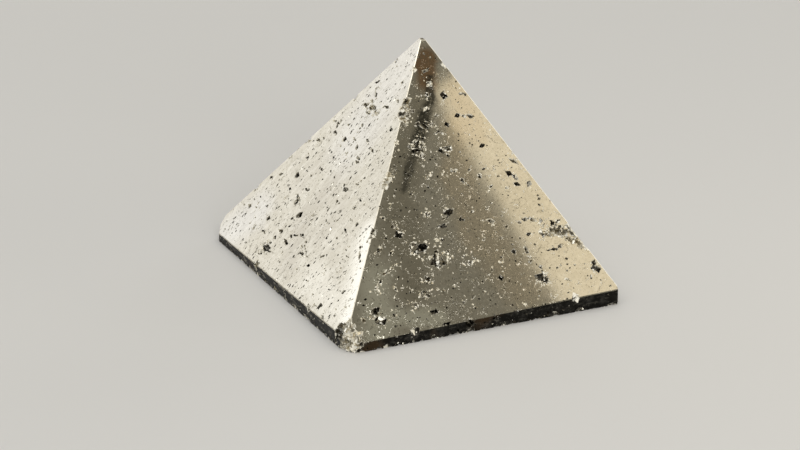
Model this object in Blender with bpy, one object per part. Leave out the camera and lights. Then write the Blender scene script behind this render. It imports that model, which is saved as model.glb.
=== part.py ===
"""Pyrite pyramid: one piece of massive pyrite, sawn and polished by hand.

Metres, +Z up. The origin is the middle of the base, on the surface that the
pyramid stands on. Each of the four polished faces starts above a low upright
skirt. Seen from outside, "left" is the face towards -X, "right" is the one
towards -Y, "far" is towards +X and "back" is towards +Y.
"""

import math
import random

import bmesh
import bpy
from mathutils import Matrix, Vector

MM = 0.001

# Driving sizes in millimetres
BASE_X = 50.0
BASE_Y = 54.4
TIP = (1.5, 0.45, 42.5)
TIP_WEAR = 0.5
TIP_SLOPE = (0.12, -0.1, 1.0)
ARRIS_WEAR = 0.14

# The corner between the left and back skirts is knocked off: how far along
# the left skirt, and which way the break looks
CORNER_LOSS = 1.15
CORNER_LOOK = (-0.82, 0.57, 0.0)

# Height of the skirt at the two ends of each face's lower edge, from the
# left end to the right end as the face is seen from outside
SKIRT = {
    "left": (1.4, 2.65),
    "right": (1.7, 2.75),
    "far": (3.2, 2.5),
    "back": (2.4, 4.3),
}

# Vugs: place across the face and height above the table, length, width in
# mm, and turn in degrees, anticlockwise as seen from outside. "Across" is X
# on the right and back faces and Y on the left and far ones.
RIGHT_VUGS = (
    (-9.0, 13.6, 1.7, 0.8, -30), (-7.8, 13.1, 1.9, 1.2, -10), (-8.9, 12.7, 0.9, 0.5, -50),
    (-5.7, 11.9, 1.7, 0.9, 60), (-6.3, 11.1, 1.4, 0.8, 35), (-5.2, 10.6, 2.7, 1.0, 5),
    (-8.2, 9.0, 1.7, 0.7, -20), (-17.0, 9.3, 2.2, 0.5, 45), (-15.3, 13.9, 1.4, 0.7, 70),
    (-13.4, 13.3, 0.9, 0.45, 10), (-11.7, 16.6, 1.5, 0.6, -35), (-11.2, 15.6, 1.4, 0.9, -10),
    (-13.3, 18.2, 0.9, 0.4, -5), (-1.6, 17.6, 1.2, 1.1, 20), (-2.5, 16.7, 0.9, 0.5, 35),
    (-3.4, 15.6, 1.7, 0.6, 8), (-4.9, 13.9, 0.8, 0.4, 10), (-3.9, 13.9, 0.8, 0.4, 0),
    (-15.3, 10.6, 1.3, 0.4, 15), (-14.3, 8.3, 0.8, 0.5, -45), (-11.4, 5.6, 1.2, 0.5, -45),
    (-9.5, 7.1, 1.3, 0.5, 0), (-8.8, 6.6, 0.8, 0.5, -30), (-18.8, 5.7, 1.7, 1.0, 10),
    (-18.2, 4.3, 1.9, 1.2, -20), (-8.3, 4.2, 1.7, 0.8, -10), (-6.8, 2.3, 1.6, 0.5, 12),
    (-2.8, 1.8, 1.5, 1.2, 0), (0.4, 16.1, 0.8, 0.6, -60), (2.7, 17.0, 0.9, 0.4, -5),
    (5.4, 15.3, 1.1, 0.6, 0), (10.4, 14.4, 0.9, 0.4, -35), (11.5, 14.7, 1.1, 0.5, 10),
    (12.8, 14.4, 1.6, 0.7, -12), (14.2, 12.2, 1.1, 0.9, -40), (15.2, 12.0, 1.3, 0.8, -10),
    (16.3, 12.6, 1.6, 1.0, 30), (17.2, 13.6, 1.1, 0.6, 20), (16.9, 11.9, 1.2, 0.7, 0),
    (18.3, 11.9, 1.6, 0.7, -15), (18.6, 10.9, 1.4, 0.7, -30), (19.6, 10.4, 1.4, 0.7, -35),
    (20.4, 9.5, 1.0, 0.5, -35), (11.4, 12.5, 0.9, 0.6, 0), (14.3, 9.9, 1.0, 0.35, 0),
    (15.6, 9.8, 1.3, 0.5, -12), (16.6, 10.1, 1.1, 0.5, 20), (8.2, 10.5, 0.9, 0.6, 0),
    (10.4, 10.4, 0.9, 0.4, 80), (10.5, 8.7, 0.8, 0.5, 20), (12.2, 7.8, 0.7, 0.5, 30),
    (11.5, 6.4, 1.2, 0.8, -20), (12.3, 5.9, 1.6, 1.2, -20), (4.7, 7.2, 0.7, 0.7, 0),
    (16.3, 5.4, 0.9, 0.4, -25), (21.8, 6.6, 2.1, 0.8, 70), (22.3, 6.0, 0.9, 0.8, 0),
    (13.9, 19.5, 0.9, 0.7, 30), (11.7, 19.7, 1.1, 0.6, 0), (10.8, 21.4, 1.1, 0.7, -15),
    (11.7, 20.6, 1.6, 0.45, -45), (9.7, 19.5, 0.7, 0.4, 0), (8.7, 21.3, 0.8, 0.35, -25),
    (7.0, 20.0, 0.8, 0.35, 35), (5.4, 21.7, 0.9, 0.6, -20), (3.2, 20.5, 0.8, 0.4, -30),
    (2.2, 21.5, 0.8, 0.5, -45), (4.2, 30.6, 0.8, 0.6, 0), (6.5, 30.2, 1.0, 0.6, -10),
    (5.3, 30.4, 1.1, 0.4, -7), (2.7, 33.6, 0.9, 0.7, -60), (1.9, 29.5, 0.9, 0.7, -60),
    (-0.2, 28.7, 1.0, 0.4, -10), (0.8, 28.4, 0.9, 0.4, -30), (-0.2, 26.1, 1.1, 0.9, 0),
    (1.0, 26.2, 1.2, 0.7, 15), (0.8, 25.2, 0.8, 0.5, 70), (7.2, 25.8, 0.8, 0.6, 0),
    (-5.6, 27.4, 1.0, 0.6, 20), (-4.6, 27.9, 1.2, 0.5, 0), (-3.4, 27.4, 1.4, 0.7, -15),
    (-4.7, 26.6, 1.4, 0.7, -10), (-3.7, 25.8, 1.1, 0.8, 0), (-3.1, 30.3, 0.8, 0.6, 0),
    (-2.2, 29.9, 1.1, 0.6, -15), (-1.2, 32.2, 0.9, 0.4, 60), (-0.3, 34.2, 1.1, 0.5, -30),
    (0.6, 35.5, 0.9, 0.8, 0), (0.5, 37.5, 0.9, 0.35, 10), (6.5, 22.6, 0.9, 0.4, 10),
    (12.1, 23.0, 1.2, 0.5, -50), (6.1, 33.4, 1.0, 0.35, -25), (1.1, 23.1, 1.3, 0.6, 0),
)
LEFT_VUGS = (
    (-1.9, 18.8, 0.9, 0.7, -20), (-3.1, 18.6, 1.1, 0.6, 20), (-5.5, 20.3, 1.2, 0.4, 15),
    (-8.8, 18.8, 0.8, 0.35, 5), (-8.4, 17.4, 0.9, 0.5, 30), (-9.4, 15.8, 0.8, 0.4, 10),
    (-11.6, 15.8, 0.9, 0.5, 25), (-9.5, 14.1, 1.1, 0.4, -20), (-2.5, 16.5, 0.7, 0.4, 10),
    (-4.8, 6.8, 0.9, 0.5, 0), (-0.4, 9.1, 0.7, 0.4, 0), (-1.0, 7.5, 1.5, 0.5, 10),
    (-7.2, 9.1, 0.9, 0.35, 12), (-18.7, 7.4, 0.9, 0.5, 20), (-17.4, 12.7, 1.2, 0.5, -15),
    (-16.3, 13.7, 0.7, 0.4, -60), (-20.0, 4.1, 0.7, 0.5, 15), (-14.4, 3.5, 1.0, 0.6, 60),
    (-13.2, 3.3, 1.1, 0.35, 20), (-16.9, 2.7, 0.9, 0.5, 10), (9.9, 4.8, 1.9, 1.3, 20),
    (10.9, 3.3, 1.4, 0.5, 15), (9.6, 5.6, 0.8, 0.6, 0), (8.4, 4.6, 1.2, 0.4, 5),
    (9.1, 6.6, 0.8, 0.7, 0), (8.3, 7.9, 1.2, 0.6, 15), (5.3, 7.2, 1.8, 0.6, -10),
    (4.7, 8.3, 0.7, 0.5, 0), (1.7, 9.4, 1.9, 0.7, 5), (3.7, 8.8, 1.4, 0.35, 15),
    (6.0, 11.2, 1.5, 0.8, 20), (7.2, 10.4, 1.4, 0.35, 15), (9.6, 13.3, 0.9, 0.6, 0),
    (8.9, 12.5, 1.2, 0.9, -30), (7.6, 15.0, 1.6, 0.6, 18), (13.0, 15.6, 1.0, 0.9, 0),
    (12.7, 13.4, 0.8, 0.4, 0), (13.0, 18.5, 0.9, 0.4, 0), (17.9, 14.1, 0.9, 0.4, 10),
    (20.1, 12.8, 0.8, 0.5, -20), (21.6, 7.6, 0.9, 0.6, 10), (16.4, 9.3, 0.9, 0.4, 40),
    (14.2, 8.0, 0.9, 0.7, 0), (13.3, 6.1, 1.5, 0.35, -8), (16.6, 5.7, 0.8, 0.5, 90),
    (1.7, 12.8, 1.1, 0.4, 0), (5.3, 33.4, 1.3, 0.5, 25), (5.0, 29.7, 1.5, 0.7, 15),
    (3.0, 29.0, 1.6, 0.5, 8), (2.4, 30.1, 2.0, 0.9, 0), (0.9, 29.8, 1.3, 0.6, -5),
    (3.8, 30.7, 1.2, 0.5, 10), (-1.0, 31.3, 1.8, 0.5, 3), (3.7, 31.8, 0.9, 0.5, -30),
    (9.7, 25.0, 1.5, 0.6, -70), (11.0, 25.1, 1.2, 0.4, 5), (9.0, 23.9, 1.3, 0.7, -20),
    (12.8, 21.4, 1.4, 0.5, 20), (11.5, 22.1, 1.0, 0.4, 0), (7.3, 21.4, 1.3, 0.4, 5),
    (5.3, 24.0, 0.9, 0.7, 30), (2.6, 22.7, 0.9, 0.4, 12), (0.6, 24.2, 0.9, 0.6, -45),
    (2.6, 24.9, 1.4, 0.4, -5), (-1.6, 23.2, 1.4, 0.4, 5), (-1.9, 22.6, 1.6, 0.6, -5),
    (-1.4, 25.9, 1.6, 0.4, -12), (-4.2, 25.3, 1.1, 0.4, -20), (-6.1, 29.3, 0.8, 0.6, 40),
    (-3.4, 33.0, 1.1, 0.4, -25), (-1.6, 35.4, 0.7, 0.5, 30), (2.7, 27.2, 0.7, 0.5, -20),
    (6.6, 26.0, 0.7, 0.4, 10),
)

# The two faces that are turned away have vugs of the same kinds, strewn by
# a seeded draw: how many, and the range of their lengths in mm
HIDDEN_VUGS = 25
HIDDEN_LENGTHS = (0.6, 2.6)
HIDDEN_WIDTHS = (0.4, 1.1)
HIDDEN_TURNS = (-25, 40)
HIDDEN_HEIGHTS = (4.5, 37.5)
HIDDEN_MARGIN = 2.0
HIDDEN_SPACING = 0.55

# Breaks along an arris: height of the middle, length along the arris, depth
ARRIS_BREAKS = {
    "front": ((32.7, 4.2, 0.75), (22.9, 1.8, 0.6), (16.2, 1.7, 0.5), (38.0, 0.6, 0.35), (28.3, 0.6, 0.3)),
    "left": ((37.3, 0.6, 0.7), (29.5, 1.0, 0.4), (20.6, 1.4, 0.45), (10.3, 1.2, 0.4), (17.2, 0.8, 0.35)),
    "right": ((37.9, 1.1, 0.55), (12.6, 1.4, 0.55), (11.1, 1.7, 0.75), (9.7, 1.1, 0.5), (24.0, 0.5, 0.25)),
    "back": ((31.0, 2.4, 0.6), (19.5, 1.4, 0.5), (8.6, 2.0, 0.6)),
}

# Chips along the upper and the lower edge of the skirt, for each side
TOP_CHIPS = 2
LOWER_CHIPS = 6
CHIP_LENGTHS = (0.5, 1.7)
CHIP_DEPTHS = (0.2, 0.55)
CHIP_LEAN_UPPER = 0.35
CHIP_LEAN_LOWER = -0.6

# A break in an edge is a row of boxes: their spacing, length over spacing,
# share of the depth that each bites, width, reach out of the edge and lean
BREAK_STEP = 0.75
BREAK_OVERLAP = 1.2
BREAK_BITES = (0.55, 1.1)
BREAK_WIDTHS = (1.1, 1.7)
BREAK_REACH = 1.6
BREAK_LEAN = 24

# The front corner has crumbled: its sharp end is gone, and grains of pyrite
# stand on the break
BREAK_HEIGHT = 5.2
BREAK_ALONG_LEFT = 4.6
BREAK_ALONG_RIGHT = 2.6
BREAK_ROOM = 14.0
GRAINS = 58
GRAIN_SIZES = (0.7, 1.3)
GRAIN_WIDTHS = (0.8, 1.1)
GRAIN_STAND = (-0.25, 0.35)
GRAIN_LEAN = 50
GRAIN_INSET = 0.03

# Forms of the pockets that make up a vug: under the first size they are
# plain double pyramids; the share of boxes among the others; how far their
# points stray, as a share of their size; how many to a square millimetre
SMALL_POCKET = 0.95
BOX_SHARE = 0.12
BOX_SIDE = 0.95
PYRAMID_RADIUS = 0.66
POCKET_JOLT = 0.12
POCKETS_PER_AREA = 1.1
POCKETS_PER_STRETCH = 0.45

# A pocket's own sizes, as shares of its vug's or of its own width: width,
# length, depth, how far it lies under the face, and its lean in degrees; its
# points lie beyond the vug's edge, because it narrows towards them
POCKET_WIDTHS = (0.6, 1.0)
POCKET_LENGTHS = (0.9, 1.4)
POCKET_DEPTHS = (1.5, 2.3)
POCKET_SINK = (0.02, 0.16)
POCKET_LEAN = 24
POCKET_SPREAD = 1.34

SEED = 41


def mm(*values):
    """A point or a size given in millimetres."""
    return Vector(values) * MM


def corner(side_x, side_y, height):
    """The point at a height above one corner of the base."""
    return mm(side_x * BASE_X / 2, side_y * BASE_Y / 2, height)


def face_frames():
    """Each polished face: its normal, its constant, and its two directions."""
    left_ends = {
        "left": (-1, 1, -1, -1),
        "right": (-1, -1, 1, -1),
        "far": (1, -1, 1, 1),
        "back": (1, 1, -1, 1),
    }
    frames = {}
    tip = mm(*TIP)
    for name, (x0, y0, x1, y1) in left_ends.items():
        low = corner(x0, y0, SKIRT[name][0])
        high = corner(x1, y1, SKIRT[name][1])
        normal = (high - low).cross(tip - low).normalized()
        rightward = Vector((0, 0, 1)).cross(normal).normalized()
        frames[name] = {
            "normal": normal,
            "constant": normal.dot(tip),
            "rightward": rightward,
            "upward": normal.cross(rightward),
        }
    return frames


def on_face(frame, across, height, along_x):
    """The point of a face's plane at a place across it and a height."""
    normal = frame["normal"]
    across = across * MM
    height = height * MM
    if along_x:
        y = (frame["constant"] - normal.x * across - normal.z * height) / normal.y
        return Vector((across, y, height))
    x = (frame["constant"] - normal.y * across - normal.z * height) / normal.x
    return Vector((x, across, height))


def cut_away(bm, point, normal):
    """Cut the solid by a plane, drop what lies beyond it and close the cut."""
    everything = bm.verts[:] + bm.edges[:] + bm.faces[:]
    cut = bmesh.ops.bisect_plane(
        bm, geom=everything, dist=1e-7, plane_co=point, plane_no=normal, clear_outer=True
    )
    rim = [item for item in cut["geom_cut"] if isinstance(item, bmesh.types.BMEdge)]
    bmesh.ops.contextual_create(bm, geom=rim)


def hull_mesh(name, frames, inset=0.0):
    """The sawn block: a box, four polished faces, and its worn ends."""
    bm = bmesh.new()
    size = mm(BASE_X, BASE_Y, TIP[2]) - Vector((2, 2, 1)) * inset
    shift = Matrix.Translation(Vector((0, 0, (size.z + 2 * inset) / 2)))
    bmesh.ops.create_cube(bm, size=1.0, matrix=shift @ Matrix.Diagonal(size.to_4d()))
    for frame in frames.values():
        normal = frame["normal"]
        cut_away(bm, normal * (frame["constant"] - inset), normal)
    cut_away(bm, mm(0, 0, TIP[2] - TIP_WEAR), Vector(TIP_SLOPE).normalized())
    cut_away(bm, corner(-1, 1, 0) + mm(0, -CORNER_LOSS, 0), Vector(CORNER_LOOK))
    bmesh.ops.bevel(
        bm, geom=bm.edges[:], offset=ARRIS_WEAR * MM, segments=1, affect="EDGES", clamp_overlap=True
    )
    bmesh.ops.recalc_face_normals(bm, faces=bm.faces[:])
    mesh = bpy.data.meshes.new(name)
    bm.to_mesh(mesh)
    bm.free()
    return mesh


def add_box(bm, centre, size, turn):
    """One box, as a pyrite crystal or the room that one left."""
    place = Matrix.LocRotScale(centre, turn, size)
    bmesh.ops.create_cube(bm, size=1.0, matrix=place)


def tilt(rng, rightward, upward, normal, turn, lean):
    """Axes along a vug's length, across it and out of the face, leaned."""
    angle = math.radians(turn)
    along = rightward * math.cos(angle) + upward * math.sin(angle)
    axes = Matrix((along, normal.cross(along), normal)).transposed()
    for axis in "XYZ":
        axes = axes @ Matrix.Rotation(math.radians(rng.uniform(-lean, lean)), 3, axis)
    return axes.to_quaternion()


def add_pocket(bm, rng, centre, size, turn):
    """An irregular closed form with flat sides, as the room of lost grains."""
    place = Matrix.LocRotScale(centre, turn, size)
    if max(size) > SMALL_POCKET * MM and rng.random() < BOX_SHARE:
        made = bmesh.ops.create_cube(bm, size=BOX_SIDE)
    else:
        made = bmesh.ops.create_uvsphere(bm, u_segments=4, v_segments=2, radius=PYRAMID_RADIUS)
    for vert in made["verts"]:
        jolt = Vector((rng.uniform(-1, 1), rng.uniform(-1, 1), rng.uniform(-1, 1)))
        vert.co = place @ (vert.co + jolt * POCKET_JOLT)
    sides = {face for vert in made["verts"] for face in vert.link_faces}
    bmesh.ops.triangulate(bm, faces=sorted(sides, key=lambda face: face.index))


def add_vug(bm, rng, frame, point, length, width, turn):
    """A vug: pockets strewn over a long patch, so that its edge is ragged."""
    count = max(1, round(length * width * POCKETS_PER_AREA + length / width * POCKETS_PER_STRETCH - 0.3))
    angle = math.radians(turn)
    along = frame["rightward"] * math.cos(angle) + frame["upward"] * math.sin(angle)
    over = frame["normal"].cross(along)
    for index in range(count):
        if count == 1:
            side, long_side, offset, stray = width, length, 0.0, 0.0
        else:
            side = width * rng.uniform(*POCKET_WIDTHS)
            long_side = max(side * rng.uniform(*POCKET_LENGTHS), (length - side) / count * 1.5)
            offset = ((index + rng.uniform(0.3, 0.7)) / count - 0.5) * (length - side * 0.7)
            stray = rng.uniform(-0.45, 0.45) * (width - side * 0.6)
        depth = side * rng.uniform(*POCKET_DEPTHS)
        centre = point + (along * offset + over * stray) * MM
        centre -= frame["normal"] * (depth * rng.uniform(*POCKET_SINK) * MM)
        pocket_turn = tilt(rng, frame["rightward"], frame["upward"], frame["normal"], turn, POCKET_LEAN)
        add_pocket(bm, rng, centre, mm(long_side * POCKET_SPREAD, side * POCKET_SPREAD, depth), pocket_turn)


def add_listed_vugs(bm, rng, frames):
    """The vugs that are placed by hand on the two faces that are seen."""
    for name, vugs, along_x in (("right", RIGHT_VUGS, True), ("left", LEFT_VUGS, False)):
        frame = frames[name]
        for across, height, length, width, turn in vugs:
            point = on_face(frame, across, height, along_x)
            add_vug(bm, rng, frame, point, length, width, turn)


def add_hidden_vugs(bm, rng, frames):
    """Vugs strewn over the two faces that are turned away."""
    for name, along_x in (("far", False), ("back", True)):
        frame = frames[name]
        half_base = (BASE_X if along_x else BASE_Y) / 2
        tip_across = TIP[0] if along_x else TIP[1]
        placed = []
        while len(placed) < HIDDEN_VUGS:
            height = rng.uniform(*HIDDEN_HEIGHTS)
            share = 1 - height / TIP[2]
            room = half_base * share - HIDDEN_MARGIN
            across = tip_across * (1 - share) + rng.uniform(-room, room)
            length = rng.uniform(0, 1) ** 2 * (HIDDEN_LENGTHS[1] - HIDDEN_LENGTHS[0]) + HIDDEN_LENGTHS[0]
            gaps = [math.hypot(across - a, height - h) / (length + other) for a, h, other in placed]
            if gaps and min(gaps) < HIDDEN_SPACING:
                continue
            placed.append((across, height, length))
            width = min(length, rng.uniform(*HIDDEN_WIDTHS))
            point = on_face(frame, across, height, along_x)
            add_vug(bm, rng, frame, point, length, width, rng.uniform(*HIDDEN_TURNS))


def arris_line(first, second):
    """A point and the direction of the line that two faces share."""
    direction = first["normal"].cross(second["normal"]).normalized()
    if direction.z < 0:
        direction = -direction
    return mm(*TIP), direction


def add_edge_break(bm, rng, middle, along, outward, length, depth):
    """A break in an edge: small boxes in a row that bite into it."""
    count = max(1, round(length / BREAK_STEP))
    side = length / count
    for index in range(count):
        offset = (index - (count - 1) / 2) * side
        bite = depth * rng.uniform(*BREAK_BITES)
        centre = middle + along * (offset * MM) + outward * ((BREAK_REACH / 2 - bite) * MM)
        across = outward.cross(along)
        turn = tilt(rng, along, across, outward, 0, BREAK_LEAN)
        add_box(bm, centre, mm(side * BREAK_OVERLAP, rng.uniform(*BREAK_WIDTHS), BREAK_REACH), turn)


def add_arris_breaks(bm, rng, frames):
    """The breaks along the four arrises that run up to the tip."""
    pairs = {
        "front": ("left", "right"),
        "left": ("left", "back"),
        "right": ("right", "far"),
        "back": ("far", "back"),
    }
    for name, (first, second) in pairs.items():
        tip, along = arris_line(frames[first], frames[second])
        outward = (frames[first]["normal"] + frames[second]["normal"]).normalized()
        for height, length, depth in ARRIS_BREAKS[name]:
            middle = tip - along * ((TIP[2] - height) * MM / along.z)
            add_edge_break(bm, rng, middle, along, outward, length, depth)


def add_skirt_chips(bm, rng):
    """Chips out of the upper and the lower edge of the upright skirt."""
    sides = (
        ("left", Vector((-1, 0, 0)), Vector((0, -1, 0)), BASE_X / 2, BASE_Y),
        ("right", Vector((0, -1, 0)), Vector((1, 0, 0)), BASE_Y / 2, BASE_X),
        ("far", Vector((1, 0, 0)), Vector((0, 1, 0)), BASE_X / 2, BASE_Y),
        ("back", Vector((0, 1, 0)), Vector((-1, 0, 0)), BASE_Y / 2, BASE_X),
    )
    for name, outward, along, reach, span in sides:
        left_height, right_height = SKIRT[name]
        places = [(share, True) for share in range(TOP_CHIPS)]
        places += [(share, False) for share in range(LOWER_CHIPS)]
        for index, upper in places:
            count = TOP_CHIPS if upper else LOWER_CHIPS
            share = (index + rng.uniform(0.2, 0.8)) / count
            share = 0.1 + 0.84 * share
            height = left_height + (right_height - left_height) * share if upper else 0.0
            middle = (along * ((share - 0.5) * span) + outward * reach) * MM
            middle.z = height * MM
            lean = Vector((0, 0, CHIP_LEAN_UPPER if upper else CHIP_LEAN_LOWER))
            direction = (outward + lean).normalized()
            length = rng.uniform(*CHIP_LENGTHS)
            depth = rng.uniform(*CHIP_DEPTHS)
            add_edge_break(bm, rng, middle, along, direction, length, depth)


def break_plane(frames):
    """Where the front corner has crumbled away: a point and a normal."""
    tip, along = arris_line(frames["left"], frames["right"])
    top = tip - along * ((TIP[2] - BREAK_HEIGHT) * MM / along.z)
    on_left = corner(-1, -1, 0) + mm(0, BREAK_ALONG_LEFT, 0)
    on_right = corner(-1, -1, 0) + mm(BREAK_ALONG_RIGHT, 0, 0)
    normal = (on_right - on_left).cross(top - on_left).normalized()
    if normal.x > 0:
        normal = -normal
    return (on_left + on_right + top) / 3, normal, (on_left, on_right, top)


def add_corner_break(bm, frames):
    """The room that the lost front corner filled."""
    point, normal, _ = break_plane(frames)
    turn = normal.to_track_quat("Z", "Y")
    add_box(bm, point + normal * (BREAK_ROOM / 2 * MM), mm(BREAK_ROOM, BREAK_ROOM, BREAK_ROOM), turn)


def add_grains(bm, rng, frames):
    """Pyrite grains that stand on the broken corner."""
    _, normal, (on_left, on_right, top) = break_plane(frames)
    for _ in range(GRAINS):
        first = math.sqrt(rng.random())
        second = rng.random()
        place = top * (1 - first) + on_left * (first * (1 - second)) + on_right * (first * second)
        side = rng.uniform(*GRAIN_SIZES)
        swing = rng.uniform(0, 90)
        turn = tilt(rng, Vector((1, 0, 0)), Vector((0, 1, 0)), Vector((0, 0, 1)), swing, GRAIN_LEAN)
        centre = place + normal * (side * rng.uniform(*GRAIN_STAND) * MM)
        add_box(bm, centre, mm(side, side * rng.uniform(*GRAIN_WIDTHS), side), turn)


def new_object(name, mesh, collection):
    """An object that holds a mesh, in a collection."""
    thing = bpy.data.objects.new(name, mesh)
    collection.objects.link(thing)
    return thing


def mesh_from(name, bm):
    """A mesh from a bmesh, which is freed."""
    mesh = bpy.data.meshes.new(name)
    bm.to_mesh(mesh)
    bm.free()
    return mesh


def hide_tool(thing):
    """A cutter or a guide isn't a piece of the object."""
    thing.hide_render = True
    thing.display_type = "WIRE"


def add_boolean(thing, other, operation):
    """Cut or join a mesh with another that may overlap itself."""
    boolean = thing.modifiers.new(operation.title(), "BOOLEAN")
    boolean.operation = operation
    boolean.solver = "EXACT"
    boolean.use_self = True
    boolean.object = other


def pyrite_material():
    """Polished pyrite: pale brassy grey, a bright metal."""
    material = bpy.data.materials.new("pyrite")
    material.use_nodes = True
    shader = material.node_tree.nodes["Principled BSDF"]
    shader.inputs["Base Color"].default_value = (0.62, 0.56, 0.42, 1.0)
    shader.inputs["Metallic"].default_value = 1.0
    shader.inputs["Roughness"].default_value = 0.28
    return material


def keep_outer_shell(mesh):
    """Drop bubbles that grains have closed off inside the stone."""
    bm = bmesh.new()
    bm.from_mesh(mesh)
    unseen = set(bm.verts)
    shells = []
    while unseen:
        shell = set()
        stack = [unseen.pop()]
        while stack:
            vert = stack.pop()
            shell.add(vert)
            for edge in vert.link_edges:
                other = edge.other_vert(vert)
                if other in unseen:
                    unseen.remove(other)
                    stack.append(other)
        shells.append(shell)
    shells.sort(key=len)
    for shell in shells[:-1]:
        bmesh.ops.delete(bm, geom=list(shell), context="VERTS")
    bm.to_mesh(mesh)
    bm.free()


def build():
    """Make the pyramid."""
    for thing in list(bpy.data.objects):
        bpy.data.objects.remove(thing)
    stone_parts = bpy.data.collections.new("pyrite pyramid")
    tools = bpy.data.collections.new("cutters")
    bpy.context.scene.collection.children.link(stone_parts)
    bpy.context.scene.collection.children.link(tools)

    frames = face_frames()
    rng = random.Random(SEED)

    rooms = bmesh.new()
    add_listed_vugs(rooms, rng, frames)
    add_hidden_vugs(rooms, rng, frames)
    add_arris_breaks(rooms, rng, frames)
    add_skirt_chips(rooms, rng)
    add_corner_break(rooms, frames)
    cutter = new_object("vug cutter", mesh_from("vug cutter", rooms), tools)
    hide_tool(cutter)

    grains = bmesh.new()
    add_grains(grains, rng, frames)
    grain_cluster = new_object("corner grains", mesh_from("corner grains", grains), tools)
    inner = new_object("inner hull", hull_mesh("inner hull", frames, GRAIN_INSET * MM), tools)
    add_boolean(grain_cluster, inner, "INTERSECT")
    hide_tool(grain_cluster)
    hide_tool(inner)

    blank = new_object("sawn blank", hull_mesh("sawn blank", frames), tools)
    add_boolean(blank, cutter, "DIFFERENCE")
    add_boolean(blank, grain_cluster, "UNION")
    hide_tool(blank)

    bpy.context.view_layer.update()
    shaped = blank.evaluated_get(bpy.context.evaluated_depsgraph_get())
    mesh = bpy.data.meshes.new_from_object(shaped)
    mesh.name = "pyrite_pyramid"
    keep_outer_shell(mesh)
    pyramid = new_object("pyrite_pyramid", mesh, stone_parts)
    mesh.materials.clear()
    mesh.materials.append(pyrite_material())
    return pyramid


build()
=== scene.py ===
import math

import bmesh
import bpy
import numpy as np
from mathutils import Matrix, Vector
from mathutils.bvhtree import BVHTree
from mathutils.kdtree import KDTree


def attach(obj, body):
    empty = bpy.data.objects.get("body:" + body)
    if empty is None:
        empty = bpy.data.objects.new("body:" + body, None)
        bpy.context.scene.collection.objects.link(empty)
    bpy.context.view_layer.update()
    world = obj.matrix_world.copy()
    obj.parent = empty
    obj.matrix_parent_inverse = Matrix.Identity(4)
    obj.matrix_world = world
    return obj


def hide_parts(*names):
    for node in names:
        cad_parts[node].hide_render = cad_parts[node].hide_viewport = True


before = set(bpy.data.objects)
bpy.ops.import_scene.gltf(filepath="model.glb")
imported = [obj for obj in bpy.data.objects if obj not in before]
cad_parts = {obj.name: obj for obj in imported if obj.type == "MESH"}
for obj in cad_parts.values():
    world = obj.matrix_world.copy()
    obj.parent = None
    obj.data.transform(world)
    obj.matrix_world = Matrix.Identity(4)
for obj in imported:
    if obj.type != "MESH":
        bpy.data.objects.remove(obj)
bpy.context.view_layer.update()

# Everything is worked out in millimetres and turned into metres as a mesh is
# made. "left" is the face towards -X, "right" -Y, "far" +X and "back" +Y.
mm = 0.001

stone = {
    "tip": (1.5, 0.45, 42.5),
    "halfBase": (25.0, 27.2),
    "skirt": {"left": (1.4, 2.65), "right": (1.7, 2.75), "far": (3.2, 2.5), "back": (2.4, 4.3)},
    "polishInset": 0.0001,  # share by which the last flush cut is smaller than the sawn block
    "insetAbout": 15.0,
    "cells": {"side": 5.0, "shift": 0.37, "steps": (-7, 10)},  # the sawn block's faces are split into these
    "weld": 0.0001,
    "seed": 7,
}

rng = np.random.default_rng(stone["seed"])


def unit(vector):
    return vector / np.linalg.norm(vector)


def faceFrames():
    ends = {"left": (-1, 1, -1, -1), "right": (-1, -1, 1, -1), "far": (1, -1, 1, 1), "back": (1, 1, -1, 1)}
    tip = np.array(stone["tip"])
    halfX, halfY = stone["halfBase"]
    made = {}
    for name, (x0, y0, x1, y1) in ends.items():
        low, high = stone["skirt"][name]
        first = np.array((x0 * halfX, y0 * halfY, low))
        second = np.array((x1 * halfX, y1 * halfY, high))
        normal = unit(np.cross(second - first, tip - first))
        rightward = unit(np.cross((0, 0, 1), normal))
        made[name] = {
            "normal": normal,
            "constant": float(normal @ tip),
            "rightward": rightward,
            "upward": np.cross(normal, rightward),
            "alongX": name in ("right", "back"),
        }
    return made


def onFace(face, across, height):
    normal = face["normal"]
    if face["alongX"]:
        y = (face["constant"] - normal[0] * across - normal[2] * height) / normal[1]
        return np.array((across, y, height))
    x = (face["constant"] - normal[1] * across - normal[2] * height) / normal[0]
    return np.array((x, across, height))


def heading(face, angle):
    return face["rightward"] * math.cos(angle) + face["upward"] * math.sin(angle)


def mostlySmall(sizes, power=1):
    low, high = sizes
    return low + (high - low) * rng.random() ** power


def turned(face, turn, lean):
    # axes along a mark, across it and out of the face, leaned a little
    along = heading(face, math.radians(turn))
    axes = np.stack((along, np.cross(face["normal"], along), face["normal"]), axis=1)
    return axes @ anyTurn(lean)


def anyTurn(lean=180):
    x, y, z = (math.radians(value) for value in rng.uniform(-lean, lean, 3))
    return np.array(Matrix.Rotation(x, 3, "X") @ Matrix.Rotation(y, 3, "Y") @ Matrix.Rotation(z, 3, "Z"))


def form(points, faces):
    return {"points": np.array(points, dtype=float), "faces": faces}


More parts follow.
